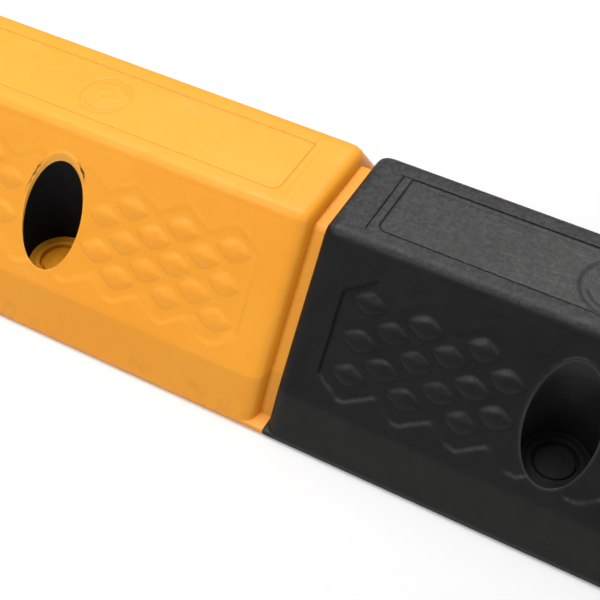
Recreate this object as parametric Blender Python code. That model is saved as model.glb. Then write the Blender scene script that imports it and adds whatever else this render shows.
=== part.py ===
"""Modular rubber speed bump: a yellow module and a black module, interlocked end to end.

Units are metres and +Z is up. X runs along the bump, -Y is the front slope and +Y the rear one.
Every module comes out of the same mould: its left end is a hollow shell, and its right end is a
tongue that the next module's shell drops over. The yellow module has a coloured skin on a black core.
"""
import math

import bmesh
import bpy

# Section across the bump, taken at mid-length of a module
HALF_WIDTH = 0.0760
HEIGHT = 0.0800
FLANGE_THICKNESS = 0.0026
KNEE_Y = 0.0662
KNEE_Z = 0.0198
CREST_HALF_WIDTH = 0.0245     # where a slope would meet the flat top
CREST_RADIUS = 0.0060
CREST_STEPS = 6
LEAST_CREST_RADIUS = 0.0008   # sharpest crest of an inset section

# Length of a module and its two ends
MODULE_PITCH = 0.2390
JOINT_STRIP = 0.0060
BODY_LENGTH = MODULE_PITCH - JOINT_STRIP
END_RADIUS = 0.0095
END_STEPS = 6
TONGUE_INSET = 0.0070
TONGUE_REACH = 0.0300
SOCKET_INSET = 0.0065
SOCKET_DEPTH = 0.0310

# Skin and fits
SKIN_THICKNESS = 0.0025
FIT_GAP = 0.0003
CUT_MARGIN = 0.0020

# Vertical fixing bores, one in each slope at mid-length of a module
BORE_RADIUS = 0.0147
BORE_Y = 0.0471
BOLT_HOLE_RADIUS = 0.0065
WASHER_THICKNESS = 0.0030
WASHER_RADIUS = 0.0142
PAD_THICKNESS = 0.0033
PAD_HOLE_RADIUS = 0.0098
PLUG_RADIUS = 0.0095
PLUG_STEM_RADIUS = 0.0060
PLUG_STEM_BOTTOM = 0.0010
PLUG_EDGE = 0.0008
BOSS_RADIUS = 0.0038
BOSS_HEIGHT = 0.0007
YELLOW_PAD_TOP = 0.0185
YELLOW_PLUG_TOP = 0.0177
BLACK_PAD_TOP = 0.0255
BLACK_PLUG_TOP = 0.0247
ROUND_STEPS = 48

# Raised grip diamonds on each slope, measured down the slope from the crest line
DIAMOND_PITCH = 0.0250
DIAMOND_ROW_PITCH = 0.0078
DIAMOND_ROWS = 5
DIAMOND_COLUMNS = 3
DIAMOND_MID_ROW = 0.0397
DIAMOND_HALF_LENGTH = 0.0088
DIAMOND_HALF_HEIGHT = 0.0056
DIAMOND_RISE = 0.0010
DIAMOND_ROOT = 0.0006
DIAMOND_TAPER = 0.80

# Shallow panel in the flat top
PANEL_MARGIN = 0.0160
PANEL_HALF_WIDTH = 0.0164
PANEL_CORNER = 0.0040
PANEL_DEPTH = 0.0008
CORNER_STEPS = 4

# Where the modules stand: the assembly is centred on the origin
ASSEMBLY_LENGTH = MODULE_PITCH + BODY_LENGTH + JOINT_STRIP + TONGUE_REACH
YELLOW_X = (BODY_LENGTH - ASSEMBLY_LENGTH) / 2
BLACK_X = YELLOW_X + MODULE_PITCH

SLOPE_ANGLE = math.atan2(HEIGHT - KNEE_Z, KNEE_Y - CREST_HALF_WIDTH)
SKIRT_ANGLE = math.atan2(KNEE_Z - FLANGE_THICKNESS, HALF_WIDTH - KNEE_Y)


def clear_scene():
    for old in list(bpy.data.objects):
        bpy.data.objects.remove(old, do_unlink=True)


def make_material(name, colour, roughness, metallic=0.0):
    material = bpy.data.materials.new(name)
    material.use_nodes = True
    shader = material.node_tree.nodes["Principled BSDF"]
    shader.inputs["Base Color"].default_value = (*colour, 1.0)
    shader.inputs["Roughness"].default_value = roughness
    shader.inputs["Metallic"].default_value = metallic
    return material


def add_mesh(name, bm, material=None, parent=None, location=(0.0, 0.0, 0.0)):
    bmesh.ops.recalc_face_normals(bm, faces=bm.faces)
    mesh = bpy.data.meshes.new(name)
    bm.to_mesh(mesh)
    bm.free()
    obj = bpy.data.objects.new(name, mesh)
    bpy.context.collection.objects.link(obj)
    obj.location = location
    obj.parent = parent
    if material:
        mesh.materials.append(material)
    return obj


def make_cutter(obj):
    obj.hide_render = True
    obj.display_type = "WIRE"
    return obj


def add_boolean(obj, tool, operation):
    modifier = obj.modifiers.new(tool.name, "BOOLEAN")
    modifier.operation = operation
    modifier.solver = "EXACT"
    modifier.object = tool


# Section outlines

def offset_corner(corner, angle_a, angle_b, inset):
    """Move the meeting point of two flats inwards; angles are the flats' tilts from level."""
    normal_a = (math.sin(angle_a), math.cos(angle_a))
    normal_b = (math.sin(angle_b), math.cos(angle_b))
    reach_a = normal_a[0] * corner[0] + normal_a[1] * corner[1] - inset
    reach_b = normal_b[0] * corner[0] + normal_b[1] * corner[1] - inset
    span = normal_a[0] * normal_b[1] - normal_a[1] * normal_b[0]
    y = (reach_a * normal_b[1] - reach_b * normal_a[1]) / span
    z = (normal_a[0] * reach_b - normal_b[0] * reach_a) / span
    return y, z


def skirt_foot(inset):
    """Half-width of the skirt where it reaches the top of the flange."""
    return HALF_WIDTH - inset / math.sin(SKIRT_ANGLE)


def half_section(inset, flange_half_width, bottom):
    """Right half of the section, from the base up to the middle of the top."""
    crest = offset_corner((CREST_HALF_WIDTH, HEIGHT), SLOPE_ANGLE, 0.0, inset)
    knee = offset_corner((KNEE_Y, KNEE_Z), SKIRT_ANGLE, SLOPE_ANGLE, inset)
    foot = skirt_foot(inset)
    flange = foot if flange_half_width is None else flange_half_width
    radius = max(CREST_RADIUS - inset, LEAST_CREST_RADIUS)
    centre_y = crest[0] - radius * math.tan(SLOPE_ANGLE / 2)
    centre_z = crest[1] - radius
    points = [(flange, bottom), (flange, FLANGE_THICKNESS), (foot, FLANGE_THICKNESS), knee]
    for step in range(CREST_STEPS + 1):
        angle = SLOPE_ANGLE * (1 - step / CREST_STEPS)
        points.append((centre_y + radius * math.sin(angle), centre_z + radius * math.cos(angle)))
    return points


def loft(stations, bottom=0.0):
    """Skin a closed solid over sections given as (x, inset, flange half-width or None)."""
    bm = bmesh.new()
    loops = []
    for x, inset, flange in stations:
        half = half_section(inset, flange, bottom)
        outline = half + [(-y, z) for y, z in reversed(half)]
        loops.append([bm.verts.new((x, y, z)) for y, z in outline])
    for before, after in zip(loops, loops[1:]):
        for i in range(len(before)):
            j = (i + 1) % len(before)
            bm.faces.new((before[i], before[j], after[j], after[i]))
    bm.faces.new(loops[0])
    bm.faces.new(reversed(loops[-1]))
    bmesh.ops.remove_doubles(bm, verts=bm.verts, dist=1e-6)
    bmesh.ops.dissolve_degenerate(bm, edges=bm.edges, dist=1e-6)
    return bm


def module_stations(inset, with_flange):
    """Sections of a whole module moved inwards by an inset, in the module's own frame."""
    half_length = BODY_LENGTH / 2
    flange = HALF_WIDTH if with_flange else None
    centre = half_length - END_RADIUS
    radius = END_RADIUS - inset
    stations = []
    for step in range(END_STEPS + 1):
        angle = math.pi / 2 * step / END_STEPS
        stations.append((-centre - radius * math.cos(angle), END_RADIUS - radius * math.sin(angle), flange))
    tongue_depth = END_RADIUS - TONGUE_INSET - inset
    shoulder_angle = math.asin(tongue_depth / radius)
    for step in range(END_STEPS + 1):
        angle = math.pi / 2 + (shoulder_angle - math.pi / 2) * step / END_STEPS
        stations.append((centre + radius * math.cos(angle), END_RADIUS - radius * math.sin(angle), flange))
    tongue_inset = TONGUE_INSET + inset
    tongue_end = half_length + JOINT_STRIP + TONGUE_REACH - inset
    if with_flange:
        strip_end = half_length + JOINT_STRIP - FIT_GAP
        stations.append((strip_end, tongue_inset, flange))
        stations.append((strip_end, tongue_inset, None))
    stations.append((tongue_end, tongue_inset, None))
    return stations


# Cutters and raised pattern

def add_socket_cutter(name, parent):
    left = -BODY_LENGTH / 2
    stations = [(left - CUT_MARGIN, SOCKET_INSET, None), (left + SOCKET_DEPTH, SOCKET_INSET, None)]
    return make_cutter(add_mesh(name, loft(stations, bottom=-CUT_MARGIN), parent=parent))


def spin_profile(bm, profile, centre):
    """Turn a closed (radius, z) profile about a vertical axis; a radius of 0 lies on the axis."""
    x, y = centre
    rings = []
    for radius, z in profile:
        if radius == 0.0:
            rings.append([bm.verts.new((x, y, z))])
            continue
        ring = []
        for step in range(ROUND_STEPS):
            angle = 2 * math.pi * step / ROUND_STEPS
            ring.append(bm.verts.new((x + radius * math.cos(angle), y + radius * math.sin(angle), z)))
        rings.append(ring)
    for before, after in zip(rings, rings[1:] + rings[:1]):
        if len(before) == 1 and len(after) == 1:
            continue
        for i in range(ROUND_STEPS):
            j = (i + 1) % ROUND_STEPS
            if len(before) == 1:
                bm.faces.new((before[0], after[j], after[i]))
            elif len(after) == 1:
                bm.faces.new((before[i], before[j], after[0]))
            else:
                bm.faces.new((before[i], before[j], after[j], after[i]))


def add_bore_cutter(name, floor, parent):
    """Two stepped cutters: the wide bore down to its floor, then the bolt hole to the road."""
    top = HEIGHT + CUT_MARGIN
    profile = [
        (0.0, top),
        (BORE_RADIUS, top),
        (BORE_RADIUS, floor),
        (BOLT_HOLE_RADIUS, floor),
        (BOLT_HOLE_RADIUS, -CUT_MARGIN),
        (0.0, -CUT_MARGIN),
    ]
    bm = bmesh.new()
    for side in (-1, 1):
        spin_profile(bm, profile, (0.0, side * BORE_Y))
    return make_cutter(add_mesh(name, bm, parent=parent))


def add_panel_cutter(name, parent):
    """A shallow bar with round corners that sinks the top panel."""
    bm = bmesh.new()
    corner_x = BODY_LENGTH / 2 - PANEL_MARGIN - PANEL_CORNER
    corner_y = PANEL_HALF_WIDTH - PANEL_CORNER
    outline = []
    for quarter, (sign_x, sign_y) in enumerate(((1, 1), (-1, 1), (-1, -1), (1, -1))):
        for step in range(CORNER_STEPS + 1):
            angle = math.pi / 2 * (quarter + step / CORNER_STEPS)
            x = sign_x * corner_x + PANEL_CORNER * math.cos(angle)
            y = sign_y * corner_y + PANEL_CORNER * math.sin(angle)
            outline.append(bm.verts.new((x, y, HEIGHT - PANEL_DEPTH)))
    floor = bm.faces.new(outline)
    walls = bmesh.ops.extrude_face_region(bm, geom=[floor])
    raised = [item for item in walls["geom"] if isinstance(item, bmesh.types.BMVert)]
    bmesh.ops.translate(bm, verts=raised, vec=(0.0, 0.0, PANEL_DEPTH + CUT_MARGIN))
    return make_cutter(add_mesh(name, bm, parent=parent))


def slope_point(side, x, down, rise):
    """A point on a slope: down from the crest line, and out of the surface by a rise."""
    along_y, along_z = math.cos(SLOPE_ANGLE), -math.sin(SLOPE_ANGLE)
    out_y, out_z = math.sin(SLOPE_ANGLE), math.cos(SLOPE_ANGLE)
    y = CREST_HALF_WIDTH + down * along_y + rise * out_y
    z = HEIGHT + down * along_z + rise * out_z
    return x, side * y, z


def add_diamond(bm, side, x, down):
    """A tapered diamond that starts below the slope's surface, where it is a little larger."""
    root_size = 1.0 + (1.0 - DIAMOND_TAPER) * DIAMOND_ROOT / DIAMOND_RISE
    layers = []
    for rise, size in ((-DIAMOND_ROOT, root_size), (DIAMOND_RISE, DIAMOND_TAPER)):
        length = DIAMOND_HALF_LENGTH * size
        height = DIAMOND_HALF_HEIGHT * size
        corners = ((x - length, down), (x, down - height), (x + length, down), (x, down + height))
        layers.append([bm.verts.new(slope_point(side, cx, cd, rise)) for cx, cd in corners])
    root, top = layers
    for i in range(4):
        j = (i + 1) % 4
        bm.faces.new((root[i], root[j], top[j], top[i]))
    bm.faces.new(root)
    bm.faces.new(top)


def add_diamond_field(name, parent):
    """Rows of diamonds on both slopes, on both sides of the bores; odd rows sit half a pitch nearer."""
    bm = bmesh.new()
    for side in (-1, 1):
        for end in (-1, 1):
            for row in range(DIAMOND_ROWS):
                down = DIAMOND_MID_ROW + (row - DIAMOND_ROWS // 2) * DIAMOND_ROW_PITCH
                first = 1.0 if row % 2 else 1.5
                for column in range(DIAMOND_COLUMNS):
                    add_diamond(bm, side, end * (first + column) * DIAMOND_PITCH, down)
    return make_cutter(add_mesh(name, bm, parent=parent))


# Sub-parts

def add_yellow_skin(parent, material, tools):
    # the skin's lower edge stops a fit gap above the road, so the core carries the load
    skin = add_mesh("yellow_skin", loft(module_stations(0.0, True), bottom=FIT_GAP), material, parent)
    void_bm = loft(module_stations(SKIN_THICKNESS, False), bottom=-CUT_MARGIN)
    void = make_cutter(add_mesh("cut_yellow_skin_void", void_bm, parent=parent))
    add_boolean(skin, tools["diamonds"], "UNION")
    add_boolean(skin, tools["panel"], "DIFFERENCE")
    add_boolean(skin, void, "DIFFERENCE")
    add_boolean(skin, tools["socket"], "DIFFERENCE")
    add_boolean(skin, tools["bores"], "DIFFERENCE")
    return skin


def add_yellow_core(parent, material, tools):
    core_bm = loft(module_stations(SKIN_THICKNESS + FIT_GAP, False))
    core = add_mesh("yellow_core", core_bm, material, parent)
    add_boolean(core, tools["socket"], "DIFFERENCE")
    add_boolean(core, tools["bores"], "DIFFERENCE")
    return core


def add_black_body(parent, material, tools):
    body = add_mesh("black_body", loft(module_stations(0.0, True)), material, parent)
    add_boolean(body, tools["diamonds"], "UNION")
    add_boolean(body, tools["panel"], "DIFFERENCE")
    add_boolean(body, tools["socket"], "DIFFERENCE")
    add_boolean(body, tools["bores"], "DIFFERENCE")
    return body


def add_round_part(name, profile, side, height, parent, material):
    """A turned piece on the axis of a bore, with its origin at the given height on that axis."""
    bm = bmesh.new()
    spin_profile(bm, profile, (0.0, 0.0))
    obj = add_mesh(name, bm, material, parent, (0.0, side * BORE_Y, height))
    obj.data.shade_smooth()
    obj.data.set_sharp_from_angle(angle=math.radians(35))
    return obj


def add_washer(name, side, top, parent, material):
    profile = [
        (BOLT_HOLE_RADIUS, 0.0),
        (WASHER_RADIUS, 0.0),
        (WASHER_RADIUS, -WASHER_THICKNESS),
        (BOLT_HOLE_RADIUS, -WASHER_THICKNESS),
    ]
    return add_round_part(name, profile, side, top, parent, material)


def add_seat_pad(name, side, top, parent, material):
    outer = BORE_RADIUS - FIT_GAP
    profile = [
        (PAD_HOLE_RADIUS, 0.0),
        (outer, 0.0),
        (outer, -PAD_THICKNESS),
        (PAD_HOLE_RADIUS, -PAD_THICKNESS),
    ]
    return add_round_part(name, profile, side, top, parent, material)


def add_plug(name, side, top, head_bottom, parent, material):
    """A bolt-hole plug: a domed-edge head with a low boss, and a stem down the bolt hole."""
    head = head_bottom - top
    profile = [
        (0.0, BOSS_HEIGHT),
        (BOSS_RADIUS, BOSS_HEIGHT),
        (BOSS_RADIUS + BOSS_HEIGHT, 0.0),
        (PLUG_RADIUS - PLUG_EDGE, 0.0),
        (PLUG_RADIUS, -PLUG_EDGE),
        (PLUG_RADIUS, head),
        (PLUG_STEM_RADIUS, head),
        (PLUG_STEM_RADIUS, PLUG_STEM_BOTTOM - top),
        (0.0, PLUG_STEM_BOTTOM - top),
    ]
    return add_round_part(name, profile, side, top, parent, material)


def seat_heights(pad_top):
    """Stack under a seat pad: washer top, then bore floor, each a fit gap below the last."""
    washer_top = pad_top - PAD_THICKNESS - FIT_GAP
    floor = washer_top - WASHER_THICKNESS - FIT_GAP
    return washer_top, floor


def add_seats(module, pad_top, plug_top, parent, rubber, steel):
    washer_top, _ = seat_heights(pad_top)
    for side, place in ((-1, "front"), (1, "rear")):
        prefix = f"{module}_{place}"
        add_washer(f"{prefix}_steel_washer", side, washer_top, parent, steel)
        add_seat_pad(f"{prefix}_seat_pad", side, pad_top, parent, rubber)
        add_plug(f"{prefix}_bolt_hole_plug", side, plug_top, washer_top + FIT_GAP, parent, rubber)


def add_tools(module, pad_top, parent):
    _, floor = seat_heights(pad_top)
    return {
        "socket": add_socket_cutter(f"cut_{module}_socket", parent),
        "bores": add_bore_cutter(f"cut_{module}_bores", floor, parent),
        "panel": add_panel_cutter(f"cut_{module}_panel", parent),
        "diamonds": add_diamond_field(f"join_{module}_diamonds", parent),
    }


def add_module_frame(name, x):
    frame = bpy.data.objects.new(name, None)
    bpy.context.collection.objects.link(frame)
    frame.location = (x, 0.0, 0.0)
    return frame


def main():
    clear_scene()
    yellow = make_material("yellow_rubber", (0.93, 0.38, 0.03), 0.45)
    black = make_material("black_rubber", (0.02, 0.02, 0.02), 0.55)
    steel = make_material("galvanised_steel", (0.55, 0.56, 0.57), 0.40, 1.0)

    yellow_frame = add_module_frame("yellow_module", YELLOW_X)
    yellow_tools = add_tools("yellow", YELLOW_PAD_TOP, yellow_frame)
    add_yellow_skin(yellow_frame, yellow, yellow_tools)
    add_yellow_core(yellow_frame, black, yellow_tools)
    add_seats("yellow", YELLOW_PAD_TOP, YELLOW_PLUG_TOP, yellow_frame, yellow, steel)

    black_frame = add_module_frame("black_module", BLACK_X)
    black_tools = add_tools("black", BLACK_PAD_TOP, black_frame)
    add_black_body(black_frame, black, black_tools)
    add_seats("black", BLACK_PAD_TOP, BLACK_PLUG_TOP, black_frame, black, steel)


main()
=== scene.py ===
import math

import bmesh
import bpy
import numpy as np
from mathutils import Matrix, Vector

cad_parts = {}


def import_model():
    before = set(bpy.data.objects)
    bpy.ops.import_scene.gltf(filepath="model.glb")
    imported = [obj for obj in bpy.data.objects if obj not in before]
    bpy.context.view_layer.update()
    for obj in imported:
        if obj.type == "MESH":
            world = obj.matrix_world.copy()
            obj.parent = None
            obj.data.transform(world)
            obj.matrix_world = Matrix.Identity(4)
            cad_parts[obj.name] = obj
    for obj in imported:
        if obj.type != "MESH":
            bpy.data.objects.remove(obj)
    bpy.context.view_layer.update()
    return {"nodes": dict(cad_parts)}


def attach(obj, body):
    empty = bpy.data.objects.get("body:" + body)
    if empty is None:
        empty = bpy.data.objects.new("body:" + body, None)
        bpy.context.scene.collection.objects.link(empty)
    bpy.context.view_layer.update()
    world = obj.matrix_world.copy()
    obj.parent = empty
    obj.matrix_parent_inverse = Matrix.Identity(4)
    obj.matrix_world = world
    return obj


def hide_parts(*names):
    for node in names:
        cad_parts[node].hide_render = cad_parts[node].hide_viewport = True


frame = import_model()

MM = 0.001

# The module's section and ends, as in the CAD apart from LEAST_RADIUS, END_SQUARENESS and SKIN
HALF_WIDTH = 76.0 * MM
HEIGHT = 80.0 * MM
FLANGE = 2.6 * MM
KNEE = (66.2 * MM, 19.8 * MM)
CREST = 24.5 * MM
CREST_RADIUS = 6.0 * MM
LEAST_RADIUS = 4.2 * MM   # of an inset section's crest; the CAD's is 0.8 mm
HALF_BODY = 116.5 * MM
END_RADIUS = 9.5 * MM
END_SQUARENESS = 3.3      # exponent of the rounding's superellipse; the CAD's rounding is a circle, 2
TONGUE_INSET = 7.0 * MM
TONGUE_START = 116.75 * MM
TONGUE_END = 152.5 * MM
TONGUE_EDGE = 1.2 * MM
STRIP_END = 122.2 * MM
SOCKET_INSET = 6.5 * MM
SOCKET_BACK = -85.5 * MM
SKIN = 1.6 * MM           # as its edge in the bores' mouths; the CAD's is 2.5 mm
SLOPE = math.atan2(HEIGHT - KNEE[1], KNEE[0] - CREST)
SKIRT = math.atan2(KNEE[1] - FLANGE, HALF_WIDTH - KNEE[0])

# Bores
BORE_Y = 47.1 * MM
BORE_R = 14.7 * MM
BOLT_R = 6.5 * MM
LIP = 0.45 * MM
PATCH_X = 21.7 * MM

MODULES = {
    "yellow": {"x": -137.5 * MM, "pad": 18.5 * MM, "plug": 17.7 * MM, "moat": 1.9 * MM},
    "black": {"x": 101.5 * MM, "pad": 25.5 * MM, "plug": 24.7 * MM, "moat": 1.1 * MM},
}

# Seat ring and plug
PAD_INNER, PAD_OUTER, PAD_THICKNESS = 9.6 * MM, 14.4 * MM, 3.3 * MM
HEAD_R, STEM_R, STEM_END = 9.5 * MM, 6.0 * MM, 1.0 * MM
STACK = 6.9 * MM   # pad, washer and their gaps, down to the bore's floor

# The diamonds, in mm
DIAMOND_PITCH = 25.0
DIAMOND_ROWS, ROW_PITCH = 5, 7.8
DIAMOND_COLUMNS = 3
DIAMOND_HALF_LENGTH, DIAMOND_HALF_HEIGHT = 7.0, 4.5
DIAMOND_POWER = 1.42   # of the outline: 1 is a rhombus, 2 an ellipse
KNEE_GROOVE = 73.0     # down the slope
FRAME_END = 100.0      # of the frame round the diamonds, from the bore

# The sunk panel on the flat top, in mm
PANEL_END, PANEL_FRONT, PANEL_BACK = 100.5, 16.4, 16.6
CORNER_U, CORNER_Y, CORNER_R = 92.5, 12.4, 4.0   # centre and radius of its front corners
INNER_BACK_LINE = 14.5
NO_LINE = 9.0          # added to a distance where a line has ended


# ---------------------------------------------------------------- section and relief

def corner(point, tilt_a, tilt_b, inset):
    """Where two edges of the section that meet at a point meet once both are moved in by inset."""
    a = (math.sin(tilt_a), math.cos(tilt_a))
    b = (math.sin(tilt_b), math.cos(tilt_b))
    ra = a[0] * point[0] + a[1] * point[1] - inset
    rb = b[0] * point[0] + b[1] * point[1] - inset
    span = a[0] * b[1] - a[1] * b[0]
    return (ra * b[1] - rb * a[1]) / span, (a[0] * rb - b[0] * ra) / span


SLOPE_LENGTH = math.hypot(KNEE[0] - CREST, HEIGHT - KNEE[1])
SLOPE_ROWS = 96
ARC_ROWS = 9
# rows of the flat top, as shares of its half-width: closer together along the panel's edges
TOP_SHARES = ([0.945, 0.89, 0.84, 0.812] + [0.800 - 0.0095 * i for i in range(7)]
              + [0.731 * (1 - i / 24) for i in range(25)])
TOP_ROWS = len(TOP_SHARES)
SKIRT_ROWS = 14
FLANGE_POINTS = 7


def half_profile(inset, flange):
    """Right half of the section from the road up to the middle of the top, always as many points."""
    crest = corner((CREST, HEIGHT), SLOPE, 0.0, inset)
    knee = corner(KNEE, SKIRT, SLOPE, inset)
    foot = HALF_WIDTH - inset / math.sin(SKIRT)
    side = flange if flange else foot
    r = 0.5 * MM
    # bottom edge of the flange, its vertical face, its round upper edge, its ledge
    points = [(side - 0.25 * MM, 0.0), (side, 0.25 * MM), (side, FLANGE - r)]
    ledge = side - foot
    if ledge >= r:
        end = (side - r, FLANGE)
    else:
        up = r - ledge
        length = math.hypot(foot - knee[0], knee[1] - FLANGE)
        end = (foot - (foot - knee[0]) * up / length, FLANGE + (knee[1] - FLANGE) * up / length)
    for t in (0.35, 0.7, 1.0):
        points.append(((1 - t) ** 2 * side + 2 * t * (1 - t) * side + t * t * end[0],
                       (1 - t) ** 2 * (FLANGE - r) + 2 * t * (1 - t) * FLANGE + t * t * end[1]))
    start = (foot, FLANGE) if ledge >= r else (end[0] - 1e-5, end[1] + 1e-5 * math.tan(SKIRT))
    points.append(start)
    for i in range(1, SKIRT_ROWS + 1):
        t = i / SKIRT_ROWS
        points.append((start[0] + (knee[0] - start[0]) * t, start[1] + (knee[1] - start[1]) * t))
    radius = max(CREST_RADIUS - inset, LEAST_RADIUS)
    cy = crest[0] - radius * math.tan(SLOPE / 2)
    cz = crest[1] - radius
    arc = (cy + radius * math.sin(SLOPE), cz + radius * math.cos(SLOPE))
    for i in range(1, SLOPE_ROWS + 1):
        t = i / SLOPE_ROWS
        points.append((knee[0] + (arc[0] - knee[0]) * t, knee[1] + (arc[1] - knee[1]) * t))
    for i in range(1, ARC_ROWS + 1):
        angle = SLOPE * (1 - i / ARC_ROWS)
        points.append((cy + radius * math.sin(angle), cz + radius * math.cos(angle)))
    for share in TOP_SHARES:
        points.append((cy * share, crest[1]))
    return points


def section(x, inset, flange):
    """The whole section at x, from one side of the road over the top to the other."""
    half = half_profile(inset, flange)
    outline = half + [(-y, z) for y, z in reversed(half[:-1])]
    return np.array([(x, y, z) for y, z in outline])


FIRST_SLOPE = FLANGE_POINTS + SKIRT_ROWS
HALF_COUNT = FIRST_SLOPE + SLOPE_ROWS + ARC_ROWS + TOP_ROWS
MOUTH_ROWS = (FIRST_SLOPE + 4, FIRST_SLOPE + SLOPE_ROWS - 7)   # of the patch round a bore's mouth


def mouth_sides(rows):
    """The rows of a section that the patches round the mouths take up, on each slope."""
    lower, upper = MOUTH_ROWS
    return [(lower, upper), (rows - 1 - upper, rows - 1 - lower)]


def smooth(t):
    t = np.clip(t, 0.0, 1.0)
    return t * t * (3 - 2 * t)


def segment_distance(px, py, a, b):
    ax, ay = a
    dx, dy = b[0] - ax, b[1] - ay
    t = np.clip(((px - ax) * dx + (py - ay) * dy) / (dx * dx + dy * dy), 0, 1)
    return np.hypot(px - ax - t * dx, py - ay - t * dy)


# The wavy frame round the diamonds, in mm: along from the bore, down the slope
TOP_WAVE = [(0, 22.0), (12.5, 14.4), (25, 21.6), (37.5, 14.4), (50, 21.6), (62.5, 14.4), (75, 21.6),
            (87.5, 14.3), (FRAME_END, 22.8)]
LOW_WAVE = [(0, 60.0), (10.5, 66.5), (14.5, 66.5), (25, 60.0), (35.5, 66.5), (39.5, 66.5), (50, 60.0),
            (60.5, 66.5), (64.5, 66.5), (75, 60.0), (85.5, 66.5), (89.0, 66.5), (FRAME_END, 59.1)]


def frame_field(u, s):
    """Signed distance in mm to the wavy frame, positive inside; u is the distance from the bore."""
    top = np.interp(u, *zip(*TOP_WAVE))
    low = np.interp(u, *zip(*LOW_WAVE))
    inside = (s > top) & (s < low) & (u < FRAME_END)
    line = TOP_WAVE + LOW_WAVE[::-1]
    d = np.full(u.shape, 1e9)
    for a, b in zip(line, line[1:]):
        d = np.minimum(d, segment_distance(u, s, a, b))
    return np.where(inside, d, -d)


def slope_relief(x, s, tone, crisp):
    """Height of the moulded pattern above the slope, in mm, with marks for painted shade in its crevices and
    for wear with painted highlights.
    """
    u = np.abs(x)
    # lines aren't ruler-straight: the mould's edges wander a little
    wander = 0.22 * np.sin(x * 0.71 + s * 0.33 + tone) + 0.14 * np.sin(x * 1.9 - s * 1.3 + 2 * tone)
    d = frame_field(u + 0.4 * wander, s + wander)
    # the frame is deep at its lower edge and at its ends, and fades towards the crest
    at_ends = 2.2 * crisp - 1.2
    strong = np.maximum(smooth((s - 20.0) / 30.0), at_ends * smooth((u - 84.0) / 10.0))
    # 0 along one slanting run of each wave of the frame's lower edge, which is softer, else 1
    phase = -x % DIAMOND_PITCH
    flat = np.maximum(smooth((16.5 - phase) / 1.5), smooth((phase - 23.5) / 1.5))
    flat = np.maximum(flat, smooth((u - 86.0) / 2.0))
    sharp = 1.0 - 0.75 * (1.0 - flat) * smooth((s - 55.0) / 4.0)
    sharp *= 1.0 - 1.6 * (1.0 - crisp) * smooth((u - 90.0) / 5.0)
    floor = smooth((d * sharp + 0.5 / crisp) / (1.5 / crisp))
    height = -(0.45 * crisp - 0.15 + 0.28 * strong) * floor
    height += 0.08 * np.exp(-((d + 1.3) / 0.8) ** 2)
    # painted shade in the frame's groove, and along its end line below
    painted_crevice_shade = (0.10 + 0.50 * strong) * crisp * np.exp(-((d - 0.3) / 0.5) ** 2) * smooth((60.0 - s) / 6.0)
    end_line = at_ends * smooth((u - 86.0) / 2.0) * smooth((60.0 - s) / 2.0)
    painted_crevice_shade = np.maximum(painted_crevice_shade, 0.9 * end_line * np.exp(-((d - 0.1) / 0.45) ** 2))
    # painted highlight along the frame's lower edge, where its wall faces up
    wear_and_painted_light = 0.22 * np.exp(-((d + 0.6) / 0.5) ** 2) * smooth((s - 58.0) / 5.0) * flat
    for row in range(DIAMOND_ROWS):
        centre = (BORE_Y / MM - CREST / MM) / math.cos(SLOPE) + (row - 2) * ROW_PITCH
        first = 1.0 if row % 2 else 1.5
        for column in range(DIAMOND_COLUMNS):
            c = (first + column) * DIAMOND_PITCH + 0.3
            # each pad is a little off its neighbours, as in a hand-cut mould
            jitter = np.sin(12.9 * row + 7.3 * column + tone)
            other = np.sin(5.1 * row + 9.7 * column + 2 * tone)
            dx = np.abs(u - c - 0.4 * jitter) / (DIAMOND_HALF_LENGTH + 0.4 * other)
            ds = np.abs(s - centre - 0.3 * other) / (DIAMOND_HALF_HEIGHT + 0.2 * jitter)
            n = (dx ** DIAMOND_POWER + ds ** DIAMOND_POWER) ** (1 / DIAMOND_POWER)
            pillow = np.clip(1 - n ** 2.0, 0, 1) ** (0.35 + 0.35 / crisp)
            # a dip in the upper edge of some pads, and a crisp step round their foot
            across, down = (u - c - 1.5 * jitter) / 2.2, (s - centre + 2.6) / 1.2
            dip = 0.16 * other * np.exp(-across ** 2 - down ** 2)
            strength = 0.38 + 0.42 * crisp + 0.14 * jitter
            height += strength * pillow + dip * (n < 1)
            height += 0.14 * crisp * smooth((1.14 - n) / 0.16)
            # painted shade under each pad's lower edge
            painted_crevice_shade = np.maximum(painted_crevice_shade, 0.35 * np.exp(-((n - 1.13) / 0.07) ** 2) * (s > centre))
            # painted highlight: a glint on the upper left of some pads
            glint = np.exp(-((n - 0.66) / 0.16) ** 2) * smooth((centre - 1.0 - s) / 1.5)
            left_part = smooth((2.0 - x + np.sign(x) * c) / 3.0)
            wear_and_painted_light = np.maximum(wear_and_painted_light, (0.45 + 0.55 * jitter) * glint * left_part)
    # shallow groove along the knee, and one faint step under the crest
    height -= 0.16 * np.exp(-((s - KNEE_GROOVE) / 1.1) ** 2)
    height -= 0.05 * np.exp(-((s - 5.0) / 0.9) ** 2)
    # slow waves of a surface that shrank as it cured
    height += 0.10 * np.sin(x * 0.067 + tone) * np.sin(s * 0.11 + 0.6 * tone)
    height += 0.035 * np.sin(x * 0.29 + 1.7 * tone) * np.sin(s * 0.37 - x * 0.09)
    return height, painted_crevice_shade, wear_and_painted_light


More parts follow.
